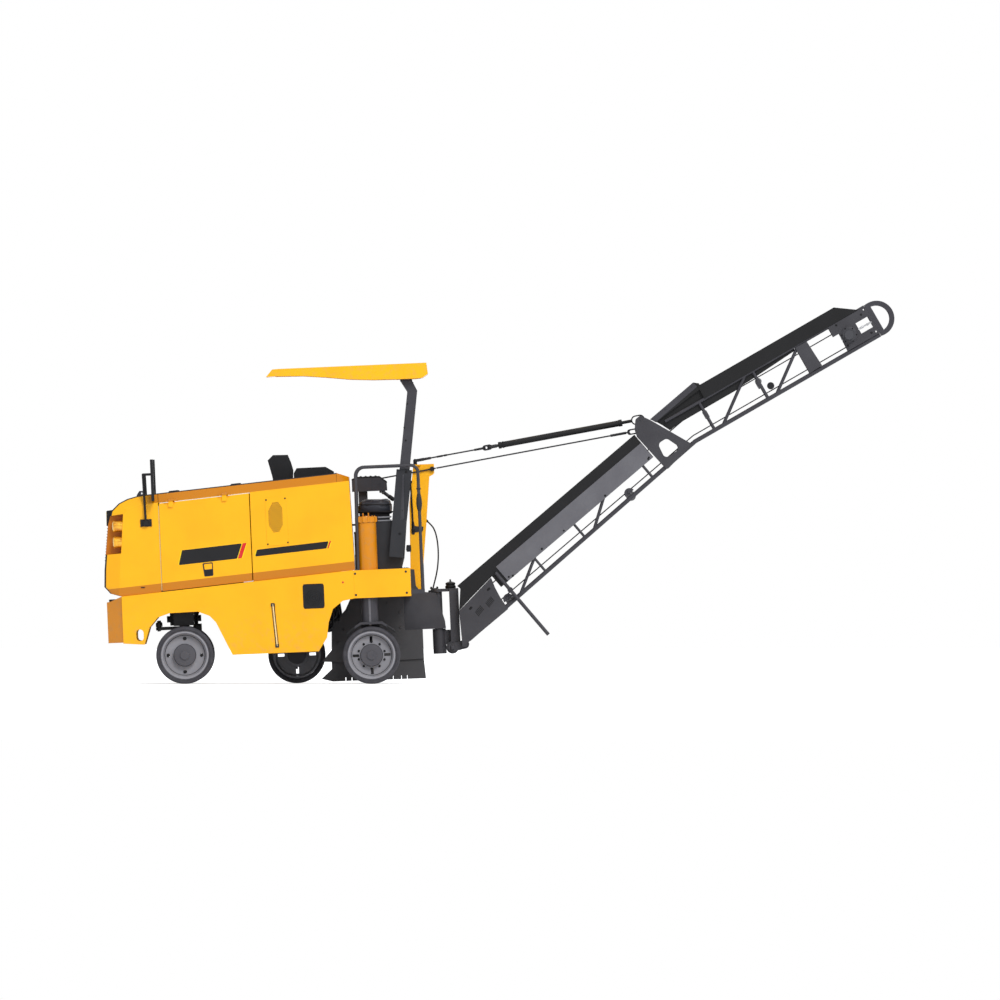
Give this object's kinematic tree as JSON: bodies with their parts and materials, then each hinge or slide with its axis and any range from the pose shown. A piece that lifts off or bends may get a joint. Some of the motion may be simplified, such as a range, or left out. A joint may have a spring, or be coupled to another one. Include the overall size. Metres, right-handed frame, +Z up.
{
  "type": "cold planer milling machine",
  "caption": "Compact road milling machine on solid tyred wheels with a yellow hood, an operator seat under a canopy and a slewing rear conveyor held by stays.",
  "frame": {"origin": "on the ground, under the middle of the bounding box", "axes": "+X towards the front of the machine, +Y to its left, +Z up"},
  "size_m": [7.3584, 1.58, 3.5698],
  "materials": {
    "belt_rubber": "matte",
    "black_paint": "satin",
    "black_plastic": "matte",
    "bright_steel": "satin",
    "cast_iron": "matte",
    "chassis_paint": "satin",
    "cover_grey": "satin",
    "dark_grey_paint": "satin",
    "drum_steel": "worn",
    "hose_rubber": "satin",
    "lamp": "glossy",
    "mirror_black": "matte",
    "rim_paint": "satin",
    "seat_cover": "satin",
    "tyre": "matte",
    "yellow_paint": "glossy",
    "yellow_roof": "satin"
  },
  "bodies": {
    "machine": {"chassis_frame": "chassis_paint", "skirts": "yellow_paint", "front_bumper": "yellow_paint", "rear_deck": "yellow_paint", "nose_cowl": "yellow_paint", "front_grille": "black_paint", "hood_top": "black_paint", "rear_hood": "yellow_paint", "engine_block": "cast_iron", "air_intake": "black_plastic", "lifting_lugs": "dark_grey_paint", "seat_base": "dark_grey_paint", "seat_cushion": "seat_cover", "control_console": "black_plastic", "handrails": "dark_grey_paint", "canopy_posts": "dark_grey_paint", "canopy": "yellow_roof", "front_axle_beam": "chassis_paint", "lifting_columns": "yellow_paint", "lifting_legs": "chassis_paint", "drum_housing": "chassis_paint", "slew_bracket": "dark_grey_paint", "mast": "yellow_paint", "mast_hose": "hose_rubber", "hose_sockets": "bright_steel", "headlamps": "lamp", "mirrors": "mirror_black"},
    "knuckle_left": {"steering_knuckle_left": "chassis_paint"},
    "knuckle_right": {"steering_knuckle_right": "chassis_paint"},
    "tie_rod": {"tie_rod": "chassis_paint"},
    "swing_leg": {"swing_leg": "chassis_paint"},
    "drum": {"cutter_drum": "drum_steel"},
    "side_plate_left": {"side_plate_left": "chassis_paint"},
    "side_plate_right": {"side_plate_right": "chassis_paint"},
    "door_left": {"engine_door_left": "yellow_paint"},
    "door_right": {"engine_door_right": "yellow_paint"},
    "yoke": {"slew_yoke": "dark_grey_paint"},
    "conveyor": {"conveyor_chords": "dark_grey_paint", "conveyor_plates": "dark_grey_paint", "side_boards": "dark_grey_paint", "cover_panels": "cover_grey", "conveyor_belt": "belt_rubber", "belt_rollers": "bright_steel", "discharge_hoop": "dark_grey_paint"},
    "stand": {"conveyor_stand": "dark_grey_paint"},
    "stay_swivel": {"stay_swivel": "dark_grey_paint"},
    "stay": {"upper_stay": "bright_steel"},
    "luff_cylinder": {"luff_cylinder": "bright_steel"},
    "safety_wire": {"safety_wire": "bright_steel"},
    "wire_guide": {"wire_guide": "bright_steel"},
    "wire_tail": {"wire_tail": "bright_steel"},
    "wheel_front_left": {"front_left_rim": "rim_paint", "front_left_tyre": "tyre"},
    "wheel_front_right": {"front_right_rim": "rim_paint", "front_right_tyre": "tyre"},
    "wheel_rear_left": {"rear_left_rim": "rim_paint", "rear_left_tyre": "tyre"},
    "wheel_rear_right": {"rear_right_rim": "rim_paint", "rear_right_tyre": "tyre"}
  },
  "joints": [
    {"name": "steer_left", "type": "hinge", "parent": "machine", "child": "knuckle_left", "pos_m": [2.94513, 0.385, 0.6047], "axis": [0.0419, 0, 0.9991], "range_deg": [-30, 30]},
    {"name": "steer_right", "type": "hinge", "parent": "machine", "child": "knuckle_right", "pos_m": [2.94513, -0.385, 0.6047], "axis": [0.0419, 0, 0.9991], "range_deg": [-30, 30]},
    {"name": "tie_rod_turn", "type": "hinge", "parent": "knuckle_left", "child": "tie_rod", "pos_m": [3.17741, 0.385, 0.53492], "axis": [0.0419, 0, 0.9991], "range_deg": [-30, 30]},
    {"name": "spin_front_left", "type": "hinge", "parent": "knuckle_left", "child": "wheel_front_left", "pos_m": [2.931, 0.54, 0.2675], "axis": [0, 1, 0], "continuous": true},
    {"name": "spin_front_right", "type": "hinge", "parent": "knuckle_right", "child": "wheel_front_right", "pos_m": [2.931, -0.54, 0.2675], "axis": [0, 1, 0], "continuous": true},
    {"name": "spin_rear_left", "type": "hinge", "parent": "machine", "child": "wheel_rear_left", "pos_m": [1.194, 0.54, 0.2675], "axis": [0, 1, 0], "continuous": true},
    {"name": "spin_rear_right", "type": "hinge", "parent": "swing_leg", "child": "wheel_rear_right", "pos_m": [1.897, -0.478, 0.2675], "axis": [0, 1, 0], "continuous": true},
    {"name": "leg_swing", "type": "hinge", "parent": "machine", "child": "swing_leg", "pos_m": [1.55762, -0.603, 0.55526], "axis": [-0.0419, 0, -0.9991], "range_deg": [0, 180]},
    {"name": "drum_spin", "type": "hinge", "parent": "machine", "child": "drum", "pos_m": [1.13, -0.309, 0.283], "axis": [0, 1, 0], "continuous": true},
    {"name": "side_plate_left_lift", "type": "slide", "parent": "machine", "child": "side_plate_left", "axis": [0.0419, 0, 0.9991], "range_m": [0, 0.12]},
    {"name": "side_plate_right_lift", "type": "slide", "parent": "machine", "child": "side_plate_right", "axis": [0.0419, 0, 0.9991], "range_m": [0, 0.12]},
    {"name": "door_left_swing", "type": "hinge", "parent": "machine", "child": "door_left", "pos_m": [3.06433, 0.664, 1.70593], "axis": [0.9935, 0, -0.1137], "range_deg": [0, 75]},
    {"name": "door_right_swing", "type": "hinge", "parent": "machine", "child": "door_right", "pos_m": [3.06433, -0.664, 1.70593], "axis": [-0.9935, 0, 0.1137], "range_deg": [0, 75]},
    {"name": "slew", "type": "hinge", "parent": "machine", "child": "yoke", "pos_m": [0.57483, -0.28, 0.67652], "axis": [0.0419, 0, 0.9991], "range_deg": [-50, 50]},
    {"name": "luff", "type": "hinge", "parent": "yoke", "child": "conveyor", "pos_m": [0.44245, -0.28, 0.33577], "axis": [0, -1, 0], "range_deg": [0, 18]},
    {"name": "stand_fold", "type": "hinge", "parent": "conveyor", "child": "stand", "pos_m": [-0.09497, -0.029, 0.87367], "axis": [0, 1, 0], "range_deg": [0, 80]},
    {"name": "stay_yaw", "type": "hinge", "parent": "machine", "child": "stay_swivel", "pos_m": [0.79098, -0.28, 2.03666], "axis": [0.0419, 0, 0.9991], "range_deg": [-47.5, 47.5]},
    {"name": "stay_pitch", "type": "hinge", "parent": "stay_swivel", "child": "stay", "pos_m": [0.79265, -0.28, 2.07663], "axis": [0, -1, 0], "range_deg": [0, 16.4]},
    {"name": "cylinder_travel", "type": "slide", "parent": "stay", "child": "luff_cylinder", "axis": [-0.9835, 0, 0.1811], "range_m": [0, 0.554]},
    {"name": "wire_end_turn", "type": "hinge", "parent": "conveyor", "child": "safety_wire", "pos_m": [-1.28638, -0.28, 2.35808], "axis": [0, -1, 0], "range_deg": [-1.2, 0.2]},
    {"name": "wire_guide_turn", "type": "hinge", "parent": "machine", "child": "wire_guide", "pos_m": [0.63336, -0.28, 2.00123], "axis": [0, -1, 0], "range_deg": [0, 17.44]},
    {"name": "wire_slide", "type": "slide", "parent": "wire_guide", "child": "wire_tail", "axis": [-0.9832, 0, 0.1828], "range_m": [0, 0.527]}
  ],
  "couplings": [
    {"joint": "steer_right", "follows": "steer_left", "ratio": 1},
    {"joint": "tie_rod_turn", "follows": "steer_left", "ratio": -1},
    {"joint": "stay_yaw", "follows": "slew", "ratio": 0.935},
    {"joint": "stay_pitch", "follows": "luff", "ratio": 0.9},
    {"joint": "cylinder_travel", "follows": "luff", "m_per_rad": 1.7538},
    {"joint": "wire_end_turn", "follows": "luff", "ratio": -0.042},
    {"joint": "wire_guide_turn", "follows": "luff", "ratio": 0.958},
    {"joint": "wire_slide", "follows": "luff", "m_per_rad": 1.6678}
  ]
}
